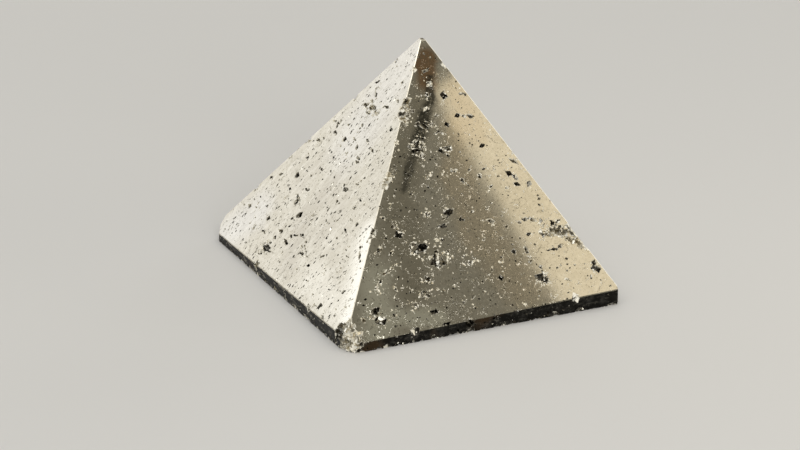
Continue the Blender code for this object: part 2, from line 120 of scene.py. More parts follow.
# The forms of single grains, about 1 across
octahedron = form(
    ((0.5, 0, 0), (-0.5, 0, 0), (0, 0.5, 0), (0, -0.5, 0), (0, 0, 0.5), (0, 0, -0.5)),
    ((0, 2, 4), (2, 1, 4), (1, 3, 4), (3, 0, 4), (2, 0, 5), (1, 2, 5), (3, 1, 5), (0, 3, 5)),
)
spike = form(
    ((0.55, 0.0, 0.22), (-0.3, 0.48, 0.22), (-0.3, -0.48, 0.22), (0.0, 0.0, -0.62)),
    ((0, 1, 2), (1, 0, 3), (2, 1, 3), (0, 2, 3)),
)
cube = form(
    [(x, y, z) for x in (-0.5, 0.5) for y in (-0.5, 0.5) for z in (-0.5, 0.5)],
    ((0, 1, 3, 2), (4, 6, 7, 5), (0, 4, 5, 1), (2, 3, 7, 6), (0, 2, 6, 4), (1, 5, 7, 3)),
)


def grain(kind, centre, size, turn, jolt=0.0):
    points = kind["points"] + rng.uniform(-jolt, jolt, kind["points"].shape)
    points = (points * np.array(size)) @ turn.T
    reach = float(np.linalg.norm(points, axis=1).max())
    return {"points": points + centre, "faces": kind["faces"], "centre": np.array(centre), "reach": reach}


def inLayers(grains):
    # grains that share a layer don't touch, so a layer is a clean closed mesh
    layers = []
    for item in grains:
        for layer in layers:
            centres = np.array(layer["centres"])
            reaches = np.array(layer["reaches"])
            if (np.linalg.norm(centres - item["centre"], axis=1) > reaches + item["reach"]).all():
                break
        else:
            layer = {"centres": [], "reaches": [], "grains": []}
            layers.append(layer)
        layer["centres"].append(item["centre"])
        layer["reaches"].append(item["reach"])
        layer["grains"].append(item)
    return [layer["grains"] for layer in layers]


def meshFrom(name, grains):
    points = np.concatenate([item["points"] for item in grains]) * mm
    faces = []
    first = 0
    for item in grains:
        faces.extend([corner + first for corner in face] for face in item["faces"])
        first += len(item["points"])
    mesh = bpy.data.meshes.new(name)
    mesh.from_pydata(points.tolist(), [], faces)
    mesh.update()
    return mesh


def newObject(name, mesh):
    made = bpy.data.objects.new(name, mesh)
    bpy.context.scene.collection.objects.link(made)
    return made


def join(body, other, operation):
    change = body.modifiers.new("join", "BOOLEAN")
    change.operation = operation
    change.solver = "MANIFOLD"
    change.object = other
    bpy.context.view_layer.update()
    shaped = body.evaluated_get(bpy.context.evaluated_depsgraph_get())
    mesh = bpy.data.meshes.new_from_object(shaped)
    body.modifiers.clear()
    old = body.data
    body.data = mesh
    bpy.data.meshes.remove(old)
    bpy.data.objects.remove(other)


def joinGrains(body, grains, operation):
    layers = [newObject("grains", meshFrom("grains", layer)) for layer in inLayers(grains)]
    tool = layers.pop(0)
    for layer in layers:
        join(tool, layer, "UNION")
    join(body, tool, operation)
    body.data.calc_loop_triangles()
    print("  ", operation.lower(), len(grains), "grains:", len(body.data.loop_triangles), "triangles")


# Small open vugs that aren't in the solid: place across the face, height,
# length, width, turn in degrees
smallVugs = {
    "right": (
        (-13.7, 15.4, 0.6, 0.5, 0), (-11.8, 20.6, 0.6, 0.5, -20), (-7.4, 20.8, 0.6, 0.5, 0),
        (-15.6, 4.7, 0.6, 0.5, -45), (5.2, 17.1, 0.6, 0.5, 0), (5.6, 14.7, 0.6, 0.4, -10),
        (5.7, 10.0, 0.6, 0.4, 0), (2.7, 8.0, 0.5, 0.4, 0), (14.9, 17.1, 0.6, 0.5, 0),
        (14.7, 16.3, 0.6, 0.4, -60), (0.7, 31.1, 0.5, 0.4, 0), (3.9, 22.7, 0.6, 0.5, 0),
        (-13.3, 19.8, 0.5, 0.4, 0), (-11.5, 19.9, 0.45, 0.4, 0), (-13.9, 11.1, 0.6, 0.4, 20),
        (-7.0, 7.2, 0.6, 0.4, 0), (-5.9, 6.9, 0.5, 0.4, 0), (-21.0, 4.7, 0.5, 0.25, 0),
        (-19.9, 7.5, 0.5, 0.35, 0), (-19.3, 10.4, 0.5, 0.4, 30), (-0.9, 8.7, 0.5, 0.4, 0),
        (-1.0, 19.7, 0.5, 0.4, 0), (-1.9, 20.9, 0.5, 0.4, 0), (-1.2, 3.8, 0.6, 0.45, 0),
        (5.2, 11.1, 0.5, 0.4, 0), (3.6, 8.5, 0.5, 0.4, 0), (0.8, 10.6, 0.5, 0.35, 0),
        (1.2, 7.1, 0.6, 0.5, 0), (1.1, 5.7, 0.6, 0.5, 0), (11.0, 4.5, 0.5, 0.4, 0),
        (16.0, 3.5, 0.5, 0.4, 0), (15.1, 7.2, 0.6, 0.4, -20), (18.4, 7.2, 0.5, 0.3, 0),
        (3.3, 12.8, 0.5, 0.4, 0), (2.2, 13.4, 0.5, 0.35, 0), (7.5, 14.9, 0.5, 0.4, 0),
        (8.0, 14.1, 0.6, 0.4, 30), (23.7, 3.4, 0.6, 0.3, 20), (15.0, 15.4, 0.5, 0.3, 0),
        (12.4, 12.6, 0.5, 0.4, 0), (2.3, 36.7, 0.7, 0.3, 15), (5.9, 21.6, 0.5, 0.35, 0),
        (-2.9, 28.2, 0.5, 0.4, 0), (-0.6, 33.4, 0.6, 0.4, -40), (-16.4, 11.9, 0.5, 0.35, 20),
    ),
    "left": (
        (-8.3, 12.5, 0.6, 0.5, 0), (-3.0, 7.7, 0.6, 0.35, 15), (-8.3, 9.7, 0.6, 0.4, 10),
        (-19.3, 9.5, 0.5, 0.4, 20), (-18.4, 12.2, 0.5, 0.5, 0), (-17.3, 14.9, 0.6, 0.4, 10),
        (4.6, 5.8, 0.6, 0.5, 90), (21.4, 8.8, 0.5, 0.4, 0), (4.1, 19.1, 0.6, 0.5, 0),
        (2.1, 18.9, 0.5, 0.4, 0), (7.0, 18.6, 0.6, 0.4, 0), (1.1, 17.2, 0.6, 0.5, 0),
        (8.9, 16.8, 0.5, 0.4, 0), (1.4, 11.4, 0.6, 0.4, 50), (-5.0, 14.1, 0.5, 0.35, 0),
        (-5.6, 11.5, 0.5, 0.35, 10), (-11.6, 14.8, 0.5, 0.3, 15), (-3.5, 16.5, 0.5, 0.3, 0),
        (-2.7, 13.3, 0.6, 0.3, 15), (-6.1, 15.4, 0.5, 0.3, 15), (-1.3, 8.3, 0.5, 0.4, 0),
        (-13.4, 7.9, 0.6, 0.3, 15), (-10.5, 8.0, 0.5, 0.3, 10), (-14.5, 6.3, 0.8, 0.25, 12),
        (-16.6, 13.9, 0.5, 0.3, 10), (-19.3, 4.8, 0.5, 0.3, 10), (-11.0, 2.7, 0.5, 0.3, 0),
        (-10.7, 4.2, 0.6, 0.3, 15), (-2.3, 5.3, 0.5, 0.4, 0), (-6.9, 5.1, 0.8, 0.3, 10),
        (-14.2, 11.5, 0.9, 0.3, 15), (-12.8, 12.1, 0.6, 0.3, 15), (-14.2, 9.7, 0.5, 0.3, 10),
        (-13.2, 10.1, 0.5, 0.3, 10), (-11.4, 10.8, 0.5, 0.3, 10), (-15.8, 10.6, 0.5, 0.3, 10),
        (-10.5, 18.6, 0.5, 0.3, 10), (13.3, 19.0, 0.5, 0.3, 10), (12.7, 12.0, 0.6, 0.3, 20),
        (20.0, 9.7, 0.5, 0.3, 10), (19.4, 8.0, 0.5, 0.35, 10), (0.5, 15.2, 0.5, 0.3, 10),
        (10.7, 17.0, 0.5, 0.35, 10), (18.0, 6.8, 0.5, 0.3, 0), (18.7, 5.7, 0.6, 0.3, 10),
        (23.5, 7.2, 0.5, 0.25, 10), (25.0, 2.6, 0.5, 0.3, 10), (24.2, 4.5, 0.5, 0.25, 20),
        (3.8, 4.4, 0.6, 0.4, 10), (9.4, 25.7, 0.5, 0.4, 20), (2.8, 26.6, 0.5, 0.35, 0),
        (7.6, 27.6, 0.5, 0.4, 10), (5.4, 22.9, 0.6, 0.4, 10), (5.5, 21.0, 0.5, 0.35, 10),
        (-6.5, 21.6, 0.6, 0.35, 20), (-5.9, 21.0, 0.6, 0.35, 30), (-5.5, 20.5, 0.5, 0.35, 20),
    ),
}

vugShape = {
    "grainsPerLength": 0.8,
    "width": (1.2, 1.6),
    "depth": (1.4, 2.2),
    "stray": 0.15,
    "sunk": (0.0, 0.12),
    "overlap": 1.6,
    "loneLength": 1.5,
    "lean": 20,
    "jolt": 0.12,
}


def vugGrains(face, vug):
    across, height, length, width, turn = vug
    point = onFace(face, across, height)
    count = max(1, round(length / width * vugShape["grainsPerLength"]))
    step = (length - width) / (count - 1) if count > 1 else 0.0
    along = heading(face, math.radians(turn))
    stray = vugShape["stray"]
    made = []
    for index in range(count):
        side = width * rng.uniform(*vugShape["width"])
        depth = side * rng.uniform(*vugShape["depth"])
        centre = point + along * (index - (count - 1) / 2) * step
        centre = centre + face["upward"] * width * rng.uniform(-stray, stray)
        centre = centre - face["normal"] * depth * rng.uniform(*vugShape["sunk"])
        longSide = max(side, step * vugShape["overlap"]) if count > 1 else length * vugShape["loneLength"]
        axes = turned(face, turn, vugShape["lean"])
        made.append(grain(octahedron, centre, (longSide, side, depth), axes, vugShape["jolt"]))
    return made


# Patches where the polish has broken into bright grains: place across the
# face, height, length, width, turn, and how many grains were lost
grainyPatches = {
    "right": (
        (16.2, 12.7, 6.2, 2.6, -24, 90), (20.0, 10.2, 3.8, 1.8, -42, 40), (-17.4, 8.2, 1.2, 0.9, 20, 12),
        (-5.4, 17.6, 1.5, 1.3, 0, 14), (-0.3, 9.9, 1.2, 0.5, 0, 8), (7.7, 3.2, 1.3, 0.5, -35, 8),
        (-14.2, 11.0, 3.0, 0.5, 32, 14), (6.3, 12.8, 0.7, 0.5, 0, 5), (10.7, 9.3, 0.8, 0.6, 0, 6),
        (-1.1, 11.1, 0.6, 0.5, 0, 5), (5.3, 9.4, 0.6, 0.5, 0, 5), (-2.8, 4.9, 0.9, 0.6, 0, 7),
        (13.5, 3.2, 0.9, 0.6, 0, 6), (-7.8, 12.8, 5.4, 3.4, -20, 64), (-4.8, 11.2, 4.4, 2.6, 20, 48),
        (-4.4, 27.0, 3.4, 2.6, 0, 44), (-1.4, 29.9, 2.8, 1.3, -15, 20), (0.6, 26.0, 2.4, 1.8, 0, 26),
        (-18.5, 4.9, 3.0, 2.4, -20, 34), (12.2, 6.0, 3.0, 2.4, 0, 34), (11.2, 21.0, 2.4, 1.3, -40, 16),
        (-8.4, 8.6, 2.6, 1.2, -20, 16), (-22.4, 7.6, 1.4, 1.0, 0, 10), (0.5, 35.5, 1.4, 1.2, 0, 12),
        (-2.0, 17.2, 2.4, 1.6, 10, 16), (-2.8, 1.9, 2.2, 1.6, 0, 16), (22.2, 6.2, 2.6, 1.4, 70, 18),
        (-0.8, 33.9, 1.3, 0.8, -30, 9), (2.3, 1.9, 1.2, 0.7, 0, 7), (-2.8, 2.2, 1.6, 1.0, 0, 12),
        (5.8, 30.4, 2.4, 0.6, -5, 10), (-3.4, 22.9, 2.2, 0.8, 20, 10), (2.6, 21.2, 2.0, 0.9, -40, 12),
        (-4.5, 32.0, 2.6, 1.7, 60, 28), (-10.6, 23.8, 2.0, 1.3, 60, 16), (-9.4, 6.7, 2.0, 1.7, 0, 22),
        (-11.3, 5.5, 2.0, 1.4, -40, 14), (-0.1, 10.0, 1.3, 1.0, 60, 10), (11.9, 6.2, 2.6, 3.2, 0, 30),
        (-24.0, 4.4, 2.6, 1.2, 60, 16), (-22.6, 3.0, 2.4, 1.2, 10, 14),
    ),
    "left": (
        (-24.6, 3.1, 4.6, 2.6, 0, 60), (2.4, 29.9, 5.4, 1.9, 4, 60), (4.5, 32.6, 2.4, 0.5, 55, 12),
        (11.0, 1.9, 1.1, 0.8, 0, 8), (9.9, 4.2, 3.0, 1.8, 20, 30), (-2.1, 8.0, 0.9, 0.7, 0, 6),
        (8.6, 12.9, 1.7, 1.0, -20, 12), (-8.4, 18.0, 1.4, 0.8, 20, 9), (-21.8, 6.2, 1.6, 0.8, 30, 10),
        (10.8, 4.8, 3.0, 1.0, 62, 16), (-6.2, 32.3, 2.4, 1.5, 60, 20), (-0.2, 8.4, 1.8, 0.9, 20, 10),
    ),
}

# Some of a patch's grains lie deeper, near its middle, and are larger
patchShape = {
    "side": (0.28, 0.62),
    "sunk": (-0.2, 0.25),
    "deepShare": 0.3,
    "deepReach": 0.75,
    "deepSide": 1.35,
    "deepSunk": (0.35, 0.7),
    "cubeShare": 0.5,
    "cubeSide": 0.7,
    "octahedronSide": 1.1,
    "slim": (0.7, 1.0),
    "jolt": 0.08,
}


def patchGrains(face, patch):
    across, height, length, width, turn, count = patch
    point = onFace(face, across, height)
    along = heading(face, math.radians(turn))
    over = np.cross(face["normal"], along)
    made = []
    for _ in range(count):
        radius = math.sqrt(rng.random()) * 0.5
        bearing = rng.uniform(0, 2 * math.pi)
        side = rng.uniform(*patchShape["side"])
        sunk = rng.uniform(*patchShape["sunk"])
        if rng.random() < patchShape["deepShare"]:
            radius *= patchShape["deepReach"]
            side *= patchShape["deepSide"]
            sunk = rng.uniform(*patchShape["deepSunk"])
        centre = point + along * length * radius * math.cos(bearing)
        centre = centre + over * width * radius * math.sin(bearing)
        centre = centre - face["normal"] * side * sunk
        kind = cube if rng.random() < patchShape["cubeShare"] else octahedron
        size = side * patchShape["cubeSide" if kind is cube else "octahedronSide"]
        sizes = (size, size * rng.uniform(*patchShape["slim"]), size)
        made.append(grain(kind, centre, sizes, anyTurn(), patchShape["jolt"]))
    return made


# Fine pits, drawn out along the grain of the stone on the left face
pits = {
    "right": {"count": 950, "length": (0.2, 0.66), "stretch": (1.0, 1.9), "turn": (-60, 60)},
    "left": {"count": 1400, "length": (0.26, 1.1), "stretch": (2.0, 3.8), "turn": (52, 90)},
    "far": {"count": 260, "length": (0.18, 0.6), "stretch": (1.0, 2.4), "turn": (-40, 50)},
    "back": {"count": 260, "length": (0.18, 0.6), "stretch": (1.0, 2.4), "turn": (-40, 50)},
}

pitShape = {
    "lowest": 2.2,
    "apart": 0.3,
    "mostlySmall": 2.4,
    "lean": 14,
    "leastWidth": 0.16,
    "depth": (0.9, 1.5),
    "spikeUpTo": 0.34,
    "jolt": 0.1,
}


def pitGrains(name):
    face = faces[name]
    values = pits[name]
    halfX, halfY = stone["halfBase"]
    tipX, tipY, tipHeight = stone["tip"]
    half, tipAcross = (halfX, tipX) if face["alongX"] else (halfY, tipY)
    centres = np.zeros((0, 3))
    made = []
    while len(made) < values["count"]:
        share = math.sqrt(rng.random())
        height = tipHeight * (1 - share)
        across = tipAcross * (1 - share) + rng.uniform(-1, 1) * half * share
        if height < pitShape["lowest"]:
            continue
        point = onFace(face, across, height)
        if len(centres) and (np.linalg.norm(centres - point, axis=1) < pitShape["apart"]).any():
            continue
        centres = np.vstack((centres, point))
        length = mostlySmall(values["length"], pitShape["mostlySmall"])
        width = length / rng.uniform(*values["stretch"])
        turn = turned(face, rng.uniform(*values["turn"]), pitShape["lean"])
        depth = max(width, pitShape["leastWidth"]) * rng.uniform(*pitShape["depth"])
        kind = octahedron if length > pitShape["spikeUpTo"] else spike
        made.append(grain(kind, point, (length, width, depth), turn, pitShape["jolt"]))
    return made


strings = {
    "right": {"count": 30, "across": (-19, 12), "height": (4, 27), "pits": (6, 16)},
    "left": {"count": 10, "across": (-20, 20), "height": (4, 24), "pits": (5, 12)},
}

stringShape = {
    "swerve": 0.45,
    "side": (0.12, 0.26),
    "step": 0.95,
    "lowest": 3.4,
    "length": (1.0, 1.6),
    "depth": 1.2,
    "lean": 15,
    "jolt": 0.1,
}


def stringGrains(name):
    # fine open cracks: rows of tiny pits that wander over the face
    face = faces[name]
    values = strings[name]
    made = []
    for _ in range(values["count"]):
        spot = onFace(face, rng.uniform(*values["across"]), rng.uniform(*values["height"]))
        bearing = rng.uniform(0, 2 * math.pi)
        for _ in range(int(rng.uniform(*values["pits"]))):
            bearing += rng.normal(0, stringShape["swerve"])
            side = rng.uniform(*stringShape["side"])
            spot = spot + heading(face, bearing) * side * stringShape["step"]
            if spot[2] < stringShape["lowest"]:
                break
            sizes = (side * rng.uniform(*stringShape["length"]), side, side * stringShape["depth"])
            axes = turned(face, math.degrees(bearing), stringShape["lean"])
            made.append(grain(spike, spot, sizes, axes, stringShape["jolt"]))
    return made


# The kinds of surface, in the order of the stone's materials
polished, broken, onlySawn = range(3)

# How near a face lies to the sawn block, and how level with it, to be a part
# of it; how steep the skirt is; how far round a lost grain the stone is crushed
surfaces = {
    "flush": 0.02,
    "level": 0.9,
    "skirtSlope": 0.2,
    "crushedReach": 1.25,
}


def surfaceKind(centre, normal):
    _, outward, _, depth = hullTree.find_nearest(centre)
    if depth > surfaces["flush"] * mm or outward.dot(normal) < surfaces["level"]:
        return broken
    return polished if outward.z > surfaces["skirtSlope"] else onlySawn


# Crumbled rims: small grains are lost all along the mouth of each vug, most
# of them as flat chips off the polished face
rims = {
    "perMm": 0.95,
    "side": (0.24, 0.66),
    "mostlySmall": 1.8,
    "stray": 0.2,
    "cubeSide": 0.62,
    "slim": (0.75, 1.1),
    "jolt": 0.08,
    "flatShare": 0.7,
    "flatLength": 1.15,
    "flatWidth": (0.6, 0.9),
    "flatThickness": 0.34,
    "leastThickness": 0.12,
    "flatLean": 22,
    "flatJolt": 0.1,
}


def flatChip(side, spot, flatAxes):
    spin = np.array(Matrix.Rotation(rng.uniform(0, math.pi), 3, "Z"))
    turn = flatAxes @ spin @ anyTurn(rims["flatLean"])
    thickness = max(side * rims["flatThickness"], rims["leastThickness"])
    sizes = (side * rims["flatLength"], side * rng.uniform(*rims["flatWidth"]), thickness)
    return grain(octahedron, spot, sizes, turn, rims["flatJolt"])


def rimGrains(mesh):
    bm = bmesh.new()
    bm.from_mesh(mesh)
    bm.normal_update()
    kinds = {face: surfaceKind(face.calc_center_median(), face.normal) for face in bm.faces}
    made = []
    for edge in bm.edges:
        around = sorted(kinds[face] for face in edge.link_faces)
        if around not in ([polished, broken], [broken, onlySawn]):
            continue
        start, end = (np.array(vert.co) / mm for vert in edge.verts)
        outward = Vector(next(face.normal for face in edge.link_faces if kinds[face] != broken))
        flatAxes = np.array(outward.to_track_quat("Z", "Y").to_matrix())
        for _ in range(rng.poisson(np.linalg.norm(end - start) * rims["perMm"])):
            side = mostlySmall(rims["side"], rims["mostlySmall"])
            spot = start + (end - start) * rng.random() + rng.normal(0, rims["stray"], 3)
            kind = (cube, octahedron, spike)[rng.integers(3)]
            if rng.random() < rims["flatShare"]:
                made.append(flatChip(side, spot, flatAxes))
            else:
                size = side * (rims["cubeSide"] if kind is cube else 1.0)
                sizes = (size, size * rng.uniform(*rims["slim"]), size)
                made.append(grain(kind, spot, sizes, anyTurn(), rims["jolt"]))
    bm.free()
    return made


# Fine nicks along the arrises and in the skirt: along its two edges, and in
# rows at shares of its height, more of them towards its foot
edgeNicks = {
    "arris": {"count": 130, "side": (0.12, 0.34)},
    "upper": {"count": 90, "side": (0.14, 0.45)},
    "lower": {"count": 150, "side": (0.25, 1.3)},
    "rows": {"shares": (0.16, 0.34, 0.55, 0.8), "atFoot": 34, "everywhere": 6, "side": (0.2, 0.8)},
    "many": {"right": 1.0, "left": 1.0, "far": 0.55, "back": 0.55},
    "tipWear": 0.7,
    "mostlySmall": 2.2,
    "stray": 0.03,
    "spikeUpTo": 0.3,
    "length": (1.0, 2.2),
    "slim": (0.45, 1.0),
    "jolt": 0.1,
}


def edgeRuns():
    # start, end, how many nicks and their sizes
    halfX, halfY = stone["halfBase"]
    skirt = stone["skirt"]
    tip = np.array(stone["tip"]) - (0, 0, edgeNicks["tipWear"])
    corners = [(-halfX, -halfY), (halfX, -halfY), (halfX, halfY), (-halfX, halfY)]
    tops = [skirt["left"][1], skirt["right"][1], skirt["far"][1], skirt["left"][0]]
    arris, upper, lower, rows = (edgeNicks[name] for name in ("arris", "upper", "lower", "rows"))
    runs = []
    for (x, y), top in zip(corners, tops):
        runs.append((np.array((x, y, top)), tip, arris["count"], arris["side"]))
    for name, first, second in (("right", 0, 1), ("far", 1, 2), ("back", 2, 3), ("left", 3, 0)):
        low, high = skirt[name]
        start = np.array((*corners[first], low))
        end = np.array((*corners[second], high))
        many = edgeNicks["many"][name]
        runs.append((start, end, round(upper["count"] * many), upper["side"]))
        runs.append((start * (1, 1, 0), end * (1, 1, 0), round(lower["count"] * many), lower["side"]))
        for share in rows["shares"]:
            lifted = np.array((1, 1, share))
            count = round((rows["atFoot"] * (1 - share) + rows["everywhere"]) * many)
            runs.append((start * lifted, end * lifted, count, rows["side"]))
    return runs


def edgeGrains():
    made = []
    for start, end, count, sides in edgeRuns():
        for _ in range(count):
            side = mostlySmall(sides, edgeNicks["mostlySmall"])
            centre = start + (end - start) * rng.random() + rng.normal(0, edgeNicks["stray"], 3)
            kind = octahedron if side > edgeNicks["spikeUpTo"] else spike
            slim = rng.uniform(*edgeNicks["slim"])
            sizes = (side * rng.uniform(*edgeNicks["length"]), side, side * slim)
            made.append(grain(kind, centre, sizes, anyTurn(), edgeNicks["jolt"]))
    return made


# The crumbled front corner and breaks along the arrises: middle and reach of
# each, and the grains lost where the solid is still flat there
crumbled = {
    "places": (
        ((-25.0, -27.2, 1.5), 6.2), ((19.6, -22.0, 10.2), 3.4), ((15.2, -20.6, 12.6), 2.4),
        ((-4.9, -6.9, 32.2), 1.8), ((-10.9, -12.5, 23.9), 1.5),
    ),
    "perSquareMm": 2.6,
    "side": (0.35, 0.8),
    "cubeShare": 0.6,
    "jolt": 0.06,
}


def crumbleGrains(mesh):
    made = []
    for polygon in mesh.polygons:
        centre = np.array(polygon.center) / mm
        near = any(np.linalg.norm(centre - middle) < reach for middle, reach in crumbled["places"])
        if not near or surfaceKind(polygon.center, polygon.normal) != broken:
            continue
        corners = [np.array(mesh.vertices[index].co) / mm for index in polygon.vertices]
        for _ in range(rng.poisson(polygon.area / mm ** 2 * crumbled["perSquareMm"])):
            shares = rng.dirichlet(np.ones(len(corners)))
            side = mostlySmall(crumbled["side"])
            spot = sum(share * corner for share, corner in zip(shares, corners))
            kind = cube if rng.random() < crumbled["cubeShare"] else octahedron
            made.append(grain(kind, spot, (side, side, side), anyTurn(), crumbled["jolt"]))
    return made


def sawnHull(mesh, share):
    bm = bmesh.new()
    bm.from_mesh(mesh)
    result = bmesh.ops.convex_hull(bm, input=bm.verts[:], use_existing_faces=False)
    inside = [item for item in result["geom_interior"] if isinstance(item, bmesh.types.BMVert)]
    bmesh.ops.delete(bm, geom=inside, context="VERTS")
    loose = [vert for vert in bm.verts if not vert.link_faces]
    bmesh.ops.delete(bm, geom=loose, context="VERTS")
    keep = {face for face in result["geom"] if isinstance(face, bmesh.types.BMFace)}
    bmesh.ops.delete(bm, geom=[face for face in bm.faces if face not in keep], context="FACES")
    bmesh.ops.recalc_face_normals(bm, faces=bm.faces[:])
    middle = Vector((0, 0, stone["insetAbout"] * mm))
    for vert in bm.verts:
        vert.co = middle + (vert.co - middle) * (1 - share)
    # small cells, so that no face gets hundreds of pits in its outline
    cells = stone["cells"]
    for axis in np.eye(3):
        for step in range(*cells["steps"]):
            spot = Vector(axis * (step + cells["shift"]) * cells["side"] * mm)
            geometry = bm.verts[:] + bm.edges[:] + bm.faces[:]
            bmesh.ops.bisect_plane(bm, geom=geometry, dist=1e-9, plane_co=spot, plane_no=Vector(axis))
    made = bpy.data.meshes.new("sawn hull")
    bm.to_mesh(made)
    bm.free()
    return made


# Cubes grown on every wall that the saw and the polish haven't touched
crystals = {
    "perSquareMm": 2.1,
    "side": (0.18, 0.5),
    "mostlySmall": 1.5,
    "slim": (0.8, 1.15),
    "sunk": (0.0, 0.35),
    "depth": (0.03, 0.8),
    "leastArea": 1e-6,
    "most": 4200,
}


def crystalGrains(mesh):
    mesh.calc_loop_triangles()
    points = np.array([vert.co[:] for vert in mesh.vertices]) / mm
    triangles = np.array([triangle.vertices[:] for triangle in mesh.loop_triangles])
    first, second, third = (points[triangles[:, index]] for index in range(3))
    cross = np.cross(second - first, third - first)
    area = np.linalg.norm(cross, axis=1) / 2
    middles = (first + second + third) / 3
    shallowest, deepest = crystals["depth"]
    made = []
    for index in rng.permutation(len(triangles)):
        if area[index] < crystals["leastArea"]:
            continue
        depth = hullTree.find_nearest(Vector(middles[index] * mm))[3] / mm
        if depth < shallowest or depth > deepest:
            continue
        normal = cross[index] / (2 * area[index])
        for _ in range(rng.poisson(area[index] * crystals["perSquareMm"])):
            u, v = rng.random(2)
            if u + v > 1:
                u, v = 1 - u, 1 - v
            spot = first[index] + u * (second[index] - first[index]) + v * (third[index] - first[index])
            side = mostlySmall(crystals["side"], crystals["mostlySmall"])
            centre = spot - normal * side * rng.uniform(*crystals["sunk"])
            sizes = (side, side * rng.uniform(*crystals["slim"]), side)
            made.append(grain(cube, centre, sizes, anyTurn()))
    return made[: crystals["most"]]


def keepLargestShell(mesh):
    bm = bmesh.new()
    bm.from_mesh(mesh)
    unseen = set(bm.verts)
    shells = []
    while unseen:
        shell = set()
        stack = [unseen.pop()]
        while stack:
            vert = stack.pop()
            shell.add(vert)
            for edge in vert.link_edges:
                other = edge.other_vert(vert)
                if other in unseen:
                    unseen.remove(other)
                    stack.append(other)
        shells.append(shell)
    shells.sort(key=len)
    for shell in shells[:-1]:
        bmesh.ops.delete(bm, geom=list(shell), context="VERTS")
    bm.to_mesh(mesh)
    bm.free()
    print("   dropped", len(shells) - 1, "enclosed shells")


def weldedMesh(solid):
    bm = bmesh.new()
    bm.from_mesh(solid.data)
    bmesh.ops.remove_doubles(bm, verts=bm.verts[:], dist=stone["weld"] * mm)
    openEdges = sum(not edge.is_manifold for edge in bm.edges)
    mesh = bpy.data.meshes.new("pyramidStone")
    bm.to_mesh(mesh)
    bm.free()
    print("welded the solid:", len(mesh.polygons), "faces,", openEdges, "open edges")
    return mesh


def searchTree(mesh):
    bm = bmesh.new()
    bm.from_mesh(mesh)
    tree = BVHTree.FromBMesh(bm)
    bm.free()
    return tree


# The stone's own mesh: vugs are carved into the solid, crystals grow on their
# walls, a flush cut trims those, and the rims, the edges and the faces get
# their nicks and pits
faces = faceFrames()
stoneMesh = weldedMesh(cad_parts["pyrite_pyramid"])
body = newObject("pyramidStone", stoneMesh)
hullMesh = sawnHull(stoneMesh, stone["polishInset"])
hullTree = searchTree(hullMesh)

carved = []
crushedGrains = []
for name in ("right", "left"):
    for vug in smallVugs[name]:
        carved += vugGrains(faces[name], vug)
    for patch in grainyPatches[name]:
        crushedGrains += patchGrains(faces[name], patch)
carved += crushedGrains
joinGrains(body, carved, "DIFFERENCE")
joinGrains(body, crystalGrains(body.data), "UNION")
join(body, newObject("hull", hullMesh), "INTERSECT")
nicks = rimGrains(body.data)
crushedGrains += nicks
print("   rims:", len(nicks))
nicks += crumbleGrains(body.data)
print("   rims and crumbled corner:", len(nicks))
nicks += edgeGrains()
for name in faces:
    nicks += pitGrains(name)
for name in strings:
    nicks += stringGrains(name)
joinGrains(body, nicks, "DIFFERENCE")
keepLargestShell(body.data)
body.data.calc_loop_triangles()
print("stone:", len(body.data.loop_triangles), "triangles")


def addLayer(mesh, name, domain, values):
    layer = mesh.attributes.new(name, "FLOAT", domain)
    layer.data.foreach_set("value", values.astype(np.float32))


def nameSurfaces(mesh):
    # which faces were polished, which are broken and which were only sawn
    count = len(mesh.polygons)
    centres = np.empty(count * 3)
    mesh.polygons.foreach_get("center", centres)
    normals = np.empty(count * 3)
    mesh.polygons.foreach_get("normal", normals)
    pairs = zip(centres.reshape(-1, 3), normals.reshape(-1, 3))
    kinds = [surfaceKind(Vector(centre), Vector(normal)) for centre, normal in pairs]
    mesh.polygons.foreach_set("material_index", np.array(kinds, dtype=np.int32))
    # 1 where grains were crushed round a vug, 0 in a lone pit
    spots = KDTree(len(crushedGrains))
    for index, item in enumerate(crushedGrains):
        spots.insert(Vector(item["centre"]) * mm, index)
    spots.balance()
    distances = np.array([spots.find(vert.co)[2] / mm for vert in mesh.vertices])
    addLayer(mesh, "crushed", "POINT", (1 - distances / surfaces["crushedReach"]).clip(0, 1))
    depths = np.array([hullTree.find_nearest(vert.co)[3] / mm for vert in mesh.vertices])
    addLayer(mesh, "depth", "POINT", depths)
    addLayer(mesh, "facet", "FACE", rng.random(count))


